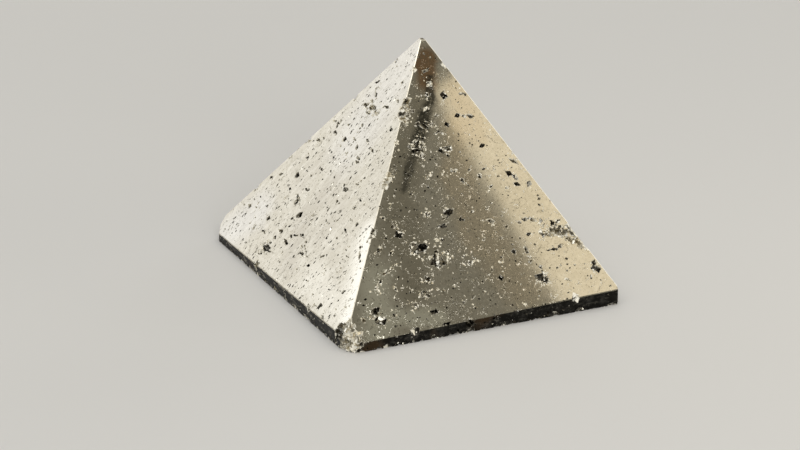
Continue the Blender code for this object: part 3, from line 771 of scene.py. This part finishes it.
class Wire:
    # a socket that can stand in a sum
    def __init__(self, tree, socket):
        self.tree = tree
        self.socket = socket

    @staticmethod
    def node(tree, kind, settings, inputs, output=0):
        made = tree.nodes.new(kind)
        for key, value in settings.items():
            setattr(made, key, value)
        for key, value in inputs.items():
            if isinstance(value, Wire):
                tree.links.new(value.socket, made.inputs[key])
            else:
                made.inputs[key].default_value = value
        return Wire(tree, made.outputs[output])

    def sums(self, operation, *values):
        return Wire.node(self.tree, "ShaderNodeMath", {"operation": operation}, dict(enumerate(values)))

    def __add__(self, other):
        return self.sums("ADD", self, other)

    def __radd__(self, other):
        return self.sums("ADD", other, self)

    def __sub__(self, other):
        return self.sums("SUBTRACT", self, other)

    def __rsub__(self, other):
        return self.sums("SUBTRACT", other, self)

    def __mul__(self, other):
        return self.sums("MULTIPLY", self, other)

    def __rmul__(self, other):
        return self.sums("MULTIPLY", other, self)

    def clamped(self):
        return Wire.node(self.tree, "ShaderNodeClamp", {}, {0: self})

    def band(self, low, high):
        # 0 below low, 1 above high, smooth between
        return Wire.node(
            self.tree,
            "ShaderNodeMapRange",
            {"interpolation_type": "SMOOTHSTEP"},
            {"Value": self, "From Min": low, "From Max": high},
        )

    def vectors(self, operation, other, output=0):
        inputs = {0: self, 1: other}
        return Wire.node(self.tree, "ShaderNodeVectorMath", {"operation": operation}, inputs, output)

    def apart(self, other):
        return self.vectors("DISTANCE", other, "Value")

    def along(self, other):
        return self.vectors("DOT_PRODUCT", other, "Value")

    def shifted(self, other, share):
        return self.vectors("ADD", scaled(self.tree, other, share))


def scaled(tree, vector, share):
    return Wire.node(tree, "ShaderNodeVectorMath", {"operation": "SCALE"}, {0: vector, "Scale": share})


def blendColour(tree, factor, first, second):
    inputs = {0: factor}
    for key, value in ((6, first), (7, second)):
        inputs[key] = value if isinstance(value, Wire) else (*value, 1.0)
    return Wire.node(tree, "ShaderNodeMix", {"data_type": "RGBA"}, inputs, 2)


def newMaterial(name):
    material = bpy.data.materials.new(name)
    material.use_nodes = True
    tree = material.node_tree
    shader = tree.nodes["Principled BSDF"]
    place = scaled(tree, Wire.node(tree, "ShaderNodeTexCoord", {}, {}, "Object"), 1 / mm)
    return material, tree, shader, place


def noise(tree, place, scale, detail=3.0, roughness=0.55, output="Fac"):
    inputs = {"Vector": place, "Scale": scale, "Detail": detail, "Roughness": roughness}
    return Wire.node(tree, "ShaderNodeTexNoise", {}, inputs, output)


def stretched(tree, place, scale, turn=(0.0, 0.0, 0.0)):
    return Wire.node(tree, "ShaderNodeMapping", {}, {"Vector": place, "Rotation": turn, "Scale": scale})


def attribute(tree, name):
    return Wire.node(tree, "ShaderNodeAttribute", {"attribute_name": name}, {}, "Fac")


def bump(tree, height, distance, strength, under=None):
    # distance is in millimetres
    inputs = {"Height": height, "Distance": distance * mm, "Strength": strength}
    if under is not None:
        inputs["Normal"] = under
    return Wire.node(tree, "ShaderNodeBump", {}, inputs)


def feed(tree, shader, **wires):
    for name, wire in wires.items():
        tree.links.new(wire.socket, shader.inputs[name])


def nearLine(tree, place, start, end, width):
    # 1 on the line from start to end, fading out at width
    start = Vector(start)
    run = Vector(end) - start
    offset = place.vectors("SUBTRACT", start)
    share = offset.along(run / run.length_squared).clamped()
    return 1 - offset.apart(scaled(tree, run, share)).band(width * 0.15, width)


def nearLines(tree, place, lines):
    near = None
    for start, end, width in lines:
        line = nearLine(tree, place, start, end, width)
        near = line if near is None else (near + line).clamped()
    return near


def onPolish(tree, name):
    # 1 on the polished face of that name
    normal = Wire.node(tree, "ShaderNodeNewGeometry", {}, {}, "True Normal")
    return normal.along(Vector(faces[name]["normal"])).band(0.9, 0.98)


polish = {
    "pale": (0.70, 0.655, 0.55),
    "deep": (0.56, 0.515, 0.415),
    "brown": (0.36, 0.225, 0.12),
    # as marks, tan, olive and amber colour painted reflections, dim and shadow painted shade, cool a painted
    # reflection and shine a painted highlight; brown and dusk colour tarnish
    "tan": (0.78, 0.67, 0.495),
    "olive": (0.90, 0.87, 0.73),
    "amber": (0.62, 0.545, 0.42),
    "dusk": (0.075, 0.07, 0.055),
    "dim": (0.53, 0.485, 0.40),
    "shadow": (0.46, 0.42, 0.33),
    "cool": (0.74, 0.715, 0.67),
    "shine": (0.97, 0.93, 0.82),
    "speck": (0.95, 0.92, 0.83),
    "grime": (0.29, 0.26, 0.20),
    "roughness": 0.065,
    "speckRoughness": 0.35,
    "wander": 1.6,  # how far the lines of tarnish and painted light bend off their way
    "specks": (0.64, 0.69),
    "loneSpecks": 0.03,
    "flockedSpecks": 0.67,
    "curls": 0.4,
    "blots": 0.65,
    "grainRun": (0.513, -0.333, 0.791),  # the way that the stone's grain runs
    "streaks": 0.2,
    "grimeShare": 0.65,
}

# Tarnish and painted light: colour, share, then lines on a face as (across, height) to
# (across, height) with a width
tarnishAndPaintedLight = {
    "right": (
        # on the right face tan, olive and amber are painted reflections and shadow is painted shade; brown and
        # dusk are tarnish
        ("tan", 0.7, (
            ((3.2, 29.0), (1.4, 22.0), 3.6), ((1.4, 22.0), (3.0, 14.0), 5.0), ((3.0, 14.0), (8.0, 5.0), 6.0),
        )),
        ("olive", 1.0, (((-19.0, 2.6), (-17.4, 10.0), 4.6), ((-17.5, 4.5), (-8.0, 3.4), 2.6))),
        ("amber", 0.7, (((5.0, 34.0), (6.8, 27.5), 3.4),)),
        ("shadow", 0.75, (
            ((0.2, 36.5), (-6.6, 25.6), 3.6), ((-6.6, 25.6), (-12.6, 15.0), 4.4),
            ((-9.0, 17.0), (-11.4, 7.6), 4.2),
        )),
        ("brown", 0.92, (((1.5, 39.6), (0.9, 38.5), 2.5), ((0.9, 38.5), (0.2, 35.8), 2.6))),
        ("dusk", 0.95, (
            ((1.0, 36.4), (0.1, 33.6), 1.2), ((0.1, 33.6), (-1.8, 31.0), 1.5),
            ((-1.8, 31.0), (-4.1, 27.6), 1.8),
        )),
        ("dusk", 0.75, (((-4.1, 27.6), (-6.8, 24.2), 1.5), ((-6.8, 24.2), (-8.6, 21.6), 1.1))),
    ),
    "left": (
        # on the left face every mark is painted light: dim is painted shade, cool a painted reflection, shine a
        # painted highlight
        ("dim", 0.65, (((1.2, 18.5), (3.7, 11.3), 3.8), ((3.7, 11.3), (0.8, 5.4), 4.2))),
        ("dim", 0.4, (
            ((-4.0, 16.0), (-3.0, 11.0), 4.0), ((8.5, 19.0), (10.5, 15.0), 3.0),
            ((-3.0, 30.0), (-1.0, 25.0), 2.6),
        )),
        ("cool", 0.55, (((24.0, 2.0), (18.0, 8.0), 6.0),)),
        ("cool", 0.45, (((1.0, 39.0), (3.0, 25.0), 10.0),)),
        ("shine", 0.9, (((-27.0, 3.0), (-17.5, 15.5), 5.5),)),
        ("shine", 0.3, (((-19.0, 5.0), (-8.0, 6.0), 5.0),)),
    ),
}


def marked(tree, colour, place, bent, name):
    face = faces[name]
    here = onPolish(tree, name)
    torn = noise(tree, place, 1.6, 4.0, 0.7).band(0.3, 0.5)
    for tint, share, lines in tarnishAndPaintedLight[name]:
        lines = [(onFace(face, *start), onFace(face, *end), width) for start, end, width in lines]
        mark = nearLines(tree, bent, lines)
        if tint == "dusk":
            mark = mark * torn
        colour = blendColour(tree, mark * here * share, colour, polish[tint])
    return colour


def polishedPyrite():
    material, tree, shader, place = newMaterial("polishedPyrite")
    grains = noise(tree, place, 0.55, 4.0, 0.6)
    patches = noise(tree, place, 0.09, 2.0).band(0.35, 0.65)
    mottle = noise(tree, place, 1.5, 4.0, 0.75).band(0.36, 0.64)
    tone = (grains.band(0.35, 0.68) * 0.35 + patches * 0.25 + mottle * 0.4).clamped()
    colour = blendColour(tree, tone, polish["deep"], polish["pale"])
    wander = polish["wander"]
    warp = noise(tree, place, 0.5, 3.0, 0.6, "Color")
    bent = place.shifted(warp, wander).shifted(Vector((0.5, 0.5, 0.5)), -wander)
    # tarnish, and painted reflections, highlights and shade, on the right and left faces
    for name in tarnishAndPaintedLight:
        colour = marked(tree, colour, place, bent, name)
    # bright specks and thin broken curls on the right face, painted highlights standing in for glints that also
    # get bump and roughness, and dark blots there
    onRight = onPolish(tree, "right")
    flocks = noise(tree, place, 0.32, 3.0, 0.6).band(0.54, 0.64)
    specks = noise(tree, place, 4.5, 2.0, 0.7).band(*polish["specks"])
    specks = specks * (polish["loneSpecks"] + flocks * polish["flockedSpecks"])
    ring = noise(tree, bent, 0.7, 2.0, 0.5)
    curls = ring.band(0.488, 0.5) * (1 - ring.band(0.504, 0.516)) * noise(tree, place, 0.9, 2.0).band(0.58, 0.66)
    bright = (specks + curls * polish["curls"]).clamped()
    colour = blendColour(tree, bright * onRight, colour, polish["speck"])
    blots = noise(tree, place, 2.1, 3.0, 0.7).band(0.56, 0.68)
    colour = blendColour(tree, blots * onRight * polish["blots"], colour, polish["grime"])
    # on the other faces pale streaks and fine grime run along the grain
    grainRun = Vector(polish["grainRun"])
    along = place.along(grainRun)
    streaks = noise(tree, place.shifted(grainRun, along * -0.8), 1.1, 3.0, 0.6).band(0.48, 0.66)
    colour = blendColour(tree, streaks * (1 - onRight) * polish["streaks"], colour, polish["shine"])
    grime = noise(tree, place.shifted(grainRun, along * -0.75), 4.2, 3.0, 0.7).band(0.58, 0.68)
    colour = blendColour(tree, grime * (1 - onRight) * polish["grimeShare"], colour, polish["grime"])
    scratches = noise(tree, stretched(tree, place, (0.5, 9.0, 9.0), (0.3, 0.5, 0.6)), 1.0, 2.0)
    rough = (specks + curls).clamped() * polish["speckRoughness"]
    roughness = polish["roughness"] + grains * 0.02 + rough
    relief = bump(tree, scratches, 0.003, 0.12)
    relief = bump(tree, (specks + curls * 0.6).clamped() * -1.0, 0.06, 0.8, relief)
    feed(tree, shader, **{"Base Color": colour, "Roughness": roughness, "Normal": relief})
    shader.inputs["Metallic"].default_value = 1.0
    return material


crust = {
    "bright": (0.93, 0.895, 0.79),
    "gold": (0.72, 0.63, 0.44),
    "dull": (0.26, 0.225, 0.165),
    "shade": (0.03, 0.026, 0.019),
    "roughness": 0.2,
    "leftDark": (0.02, 0.35),  # depths between which the vugs of that face turn dark with painted shade
    "rightDark": (0.17, 0.38),
    "rimTo": 0.3,
    "rimBright": 0.7,
    "glints": 0.3,  # share of facets left out of the painted shade, so that they glint
    "crushedMatte": 0.7,
}

# Heaps of bright grains: from a place to a place, and how wide
heaps = (
    ((-25.0, -27.2, 0.0), (-24.0, -26.2, 4.2), 4.6),
    ((13.2, -20.0, 13.4), (21.2, -22.8, 9.1), 2.6),
    ((-4.0, -6.0, 33.5), (-5.6, -7.6, 31.0), 1.9),
    ((-10.4, -12.0, 24.8), (-11.4, -13.1, 23.0), 1.6),
    ((-6.6, 4.5, 30.0), (-6.8, 0.6, 29.8), 1.4),
    ((13.4, -26.5, 3.3), (13.7, -26.5, 3.2), 0.9),
    ((7.4, -26.5, 3.3), (8.2, -26.6, 3.1), 0.7),
)


def crystalPyrite():
    material, tree, shader, place = newMaterial("crystalPyrite")
    depth = attribute(tree, "depth")
    facet = attribute(tree, "facet")
    heap = nearLines(tree, place, heaps)
    golden = (facet.band(0.1, 0.35) + heap * 0.7).clamped()
    colour = blendColour(tree, golden, crust["dull"], crust["gold"])
    colour = blendColour(tree, facet.band(0.3, 0.6), colour, crust["bright"])
    # painted highlight: crystals at the shallow rims of the vugs are coloured bright, standing in for glints;
    # below they are also made matte
    byVug = attribute(tree, "crushed").band(0.12, 0.42)
    rim = (1 - depth.band(crust["rimTo"] * 0.5, crust["rimTo"])) * byVug
    colour = blendColour(tree, rim * crust["rimBright"], colour, crust["bright"])
    # painted shade: crystals turn dark with depth, from a shallower depth in the vugs of the left face than in
    # those of the right one; glinting facets, lit patches and the heaps are spared
    left = faces["left"]
    right = faces["right"]
    apartness = place.along(Vector(left["normal"] - right["normal"]))
    onLeft = (apartness + (right["constant"] - left["constant"])).band(-0.3, 0.3)
    lit = noise(tree, place, 0.8, 2.0, 0.5).band(0.5, 0.58) * (1 - onLeft * 0.85)
    glint = (facet.band(1 - crust["glints"], 1 - crust["glints"] * 0.8) + lit * 0.55).clamped()
    leftDark = depth.band(*crust["leftDark"])
    rightDark = depth.band(*crust["rightDark"])
    paintedShadeAndStains = (rightDark + (leftDark - rightDark) * onLeft) * (1 - glint * 0.7) * (1 - heap * 0.8)
    # stains darken some crystals as well
    stains = noise(tree, place, 1.2, 3.0).band(0.6, 0.75)
    paintedShadeAndStains = (paintedShadeAndStains + stains * 0.2 * (1 - heap)).clamped()
    # painted shade: lone pits are dark, but for a few facets
    paintedShadeAndStains = (paintedShadeAndStains + (1 - byVug) * (1 - heap) * (1 - facet.band(0.66, 0.74)) * 0.9).clamped()
    # painted shade: the grains in the skirt are dark, but for a few facets, more of them on the left side
    height = Wire.node(tree, "ShaderNodeSeparateXYZ", {}, {0: place}, "Z")
    onSkirt = (1 - height.band(2.0, 2.9)) * (1 - heap)
    paintedShadeAndStains = (paintedShadeAndStains + onSkirt * (1 - facet.band(0.72 - onLeft * 0.3, 0.8 - onLeft * 0.3)) * 0.9).clamped()
    colour = blendColour(tree, paintedShadeAndStains * 0.95, colour, crust["shade"])
    striae = noise(tree, stretched(tree, place, (1.5, 14.0, 14.0), (0.7, 0.2, 0.4)), 1.0, 1.0)
    relief = bump(tree, striae, 0.02, 0.4)
    # crushed grains scatter light, so they are less of a mirror
    matte = (rim * (1 - onLeft * 0.75) + heap * 0.8).clamped() * facet.band(0.12, 0.3) * (1 - onSkirt)
    roughness = crust["roughness"] + facet * 0.15 + (paintedShadeAndStains + rim) * 0.2
    metal = 1 - matte * (1 - paintedShadeAndStains) * crust["crushedMatte"]
    feed(tree, shader, **{"Base Color": colour, "Roughness": roughness, "Metallic": metal, "Normal": relief})
    return material


sawn = {
    # grey and black give the skirt a near-black painted shade; pale and fleck colour its painted highlights
    "grey": (0.042, 0.04, 0.035),
    "black": (0.008, 0.0075, 0.006),
    "rust": (0.075, 0.045, 0.02),
    "pale": (0.34, 0.32, 0.27),
    "fleck": (0.4, 0.37, 0.31),
    "roughness": 0.34,
    "metallic": 0.9,
}


def sawnPyrite():
    material, tree, shader, place = newMaterial("sawnPyrite")
    # painted shade: the sawn skirt is coloured near black, with pale ragged streaks, most on the left side, and
    # pale flecks as painted highlights
    blotches = noise(tree, place, 0.7, 4.0, 0.65)
    rusty = noise(tree, place, 0.12, 2.0).band(0.55, 0.7)
    flecks = noise(tree, place, 3.2, 2.0, 0.7)
    raggedPaintedHighlight = noise(tree, stretched(tree, place, (0.55, 0.55, 2.2)), 0.9, 6.0, 0.75).band(0.56, 0.6)
    colour = blendColour(tree, blotches.band(0.45, 0.72), sawn["black"], sawn["grey"])
    normal = Wire.node(tree, "ShaderNodeNewGeometry", {}, {}, "True Normal")
    onLeft = 1 - Wire.node(tree, "ShaderNodeSeparateXYZ", {}, {0: normal}, "X").band(-0.9, -0.5)
    colour = blendColour(tree, raggedPaintedHighlight * (0.12 + onLeft * 0.62), colour, sawn["pale"])
    colour = blendColour(tree, rusty * 0.6, colour, sawn["rust"])
    colour = blendColour(tree, flecks.band(0.66, 0.72) * 0.7, colour, sawn["fleck"])
    relief = bump(tree, blotches, 0.12, 0.8)
    relief = bump(tree, flecks, 0.04, 0.7, relief)
    roughness = sawn["roughness"] + blotches * 0.2
    feed(tree, shader, **{"Base Color": colour, "Roughness": roughness, "Normal": relief})
    shader.inputs["Metallic"].default_value = sawn["metallic"]
    return material


# The order is that of the kinds of surface
body.data.materials.clear()
for material in (polishedPyrite(), crystalPyrite(), sawnPyrite()):
    body.data.materials.append(material)
nameSurfaces(body.data)
for polygon in body.data.polygons:
    polygon.use_smooth = False
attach(body, "root")
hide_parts("pyrite_pyramid")
print("materials on")

# Floor, light and camera, in metres
studio = {
    "floor": (0.70, 0.69, 0.672),
    "floorSize": 2.5,
    "floorRoughness": 0.8,
    "room": (0.25, 0.24, 0.205),
    "lens": 225,
    "film": 36,
    "eye": (-0.3361, -0.7080, 0.33484),
    "right": (0.90516, -0.42506, 0.0026),
    "up": (0.16122, 0.34896, 0.92316),
    "ahead": (0.39331, 0.83519, -0.3844),
}

# Soft boxes: centre, what each faces, width, height, radiance and colour
white = (1, 1, 1)
softBoxes = {
    "overhead": ((0.1, 0.15, 1.15), (0, 0, 0), 1.3, 1.3, 0.95, white),
    "highLeft": ((-0.66, -0.09, 0.95), (0, 0, 0), 0.6, 0.6, 1.2, white),
    "highRight": ((0.95, 0.36, 0.36), (0, 0, 0), 0.5, 0.5, 1.3, white),
    "lowFront": ((0.02, -1.0, 0.22), (0, 0, 0), 0.6, 0.35, 2.0, white),
    "sideFront": ((0.8, -0.62, 0.12), (0, 0, 0), 0.4, 0.36, 2.4, white),
    "highFront": ((-0.26, -0.82, 0.56), (0, 0, 0), 0.56, 0.56, 3.2, white),
    "highBack": ((0.15, 1.05, 0.7), (0, 0, 0), 0.6, 0.5, 0.9, white),
    "backLeft": ((-0.31, 0.50, 0.145), (0, 0, 0.015), 0.34, 0.24, 0.98, (0.93, 0.95, 1.0)),
}

# The warm card stands where the right face mirrors it: a point of that face,
# the way that its mirror looks, that view's own sideways and upward, and how
# far off and how wide and high the card is
warmCard = {
    "onFace": (0.0013, -0.0188, 0.0144),
    "glance": (0.3842, -0.6646, 0.6408),
    "sideways": (0.8657, 0.5005, 0.0),
    "lifted": (-0.3207, 0.5548, 0.7677),
    "reach": 0.16,
    "edge": 0.0078,
    "width": 0.09,
    "low": -0.06,
    "high": 0.028,
    "radiance": 0.82,
    "colour": (1.0, 0.9, 0.72),
}


def softBox(name, centre, aim, width, height, radiance, colour):
    lamp = bpy.data.lights.new(name, "AREA")
    lamp.shape = "RECTANGLE"
    lamp.size = width
    lamp.size_y = height
    lamp.energy = radiance * width * height * math.pi
    lamp.color = colour
    made = bpy.data.objects.new(name, lamp)
    bpy.context.scene.collection.objects.link(made)
    made.location = centre
    made.rotation_euler = (Vector(aim) - Vector(centre)).to_track_quat("-Z", "Y").to_euler()
    made.visible_camera = False


def warmSoftBox():
    onFace, glance, sideways, lifted = (
        Vector(warmCard[name]) for name in ("onFace", "glance", "sideways", "lifted")
    )
    low = warmCard["low"]
    high = warmCard["high"]
    width = warmCard["width"]
    middle = onFace + glance * warmCard["reach"] + sideways * (warmCard["edge"] + width / 2)
    middle = middle + lifted * (low + high) / 2
    softBox("warmRight", middle, middle - glance, width, high - low, warmCard["radiance"], warmCard["colour"])


def plainFloor():
    bm = bmesh.new()
    bmesh.ops.create_grid(bm, x_segments=1, y_segments=1, size=studio["floorSize"])
    mesh = bpy.data.meshes.new("floor")
    bm.to_mesh(mesh)
    bm.free()
    floor = newObject("floor", mesh)
    material = bpy.data.materials.new("floorPaint")
    material.use_nodes = True
    shader = material.node_tree.nodes["Principled BSDF"]
    shader.inputs["Base Color"].default_value = (*studio["floor"], 1.0)
    shader.inputs["Roughness"].default_value = studio["floorRoughness"]
    mesh.materials.append(material)


def room():
    world = bpy.data.worlds.new("room")
    bpy.context.scene.world = world
    world.use_nodes = True
    world.node_tree.nodes["Background"].inputs["Color"].default_value = (*studio["room"], 1.0)


def cameraAtPhoto():
    lens = bpy.data.cameras.new("camera")
    lens.lens = studio["lens"]
    lens.sensor_width = studio["film"]
    lens.sensor_fit = "HORIZONTAL"
    lens.clip_start = 0.01
    made = bpy.data.objects.new("camera", lens)
    bpy.context.scene.collection.objects.link(made)
    turn = Matrix((studio["right"], studio["up"], -Vector(studio["ahead"]))).transposed().to_4x4()
    made.matrix_world = Matrix.Translation(Vector(studio["eye"])) @ turn
    bpy.context.scene.camera = made


plainFloor()
room()
for name, values in softBoxes.items():
    softBox(name, *values)
warmSoftBox()
bpy.context.scene.view_settings.view_transform = "Standard"
cameraAtPhoto()
print("light and camera set")
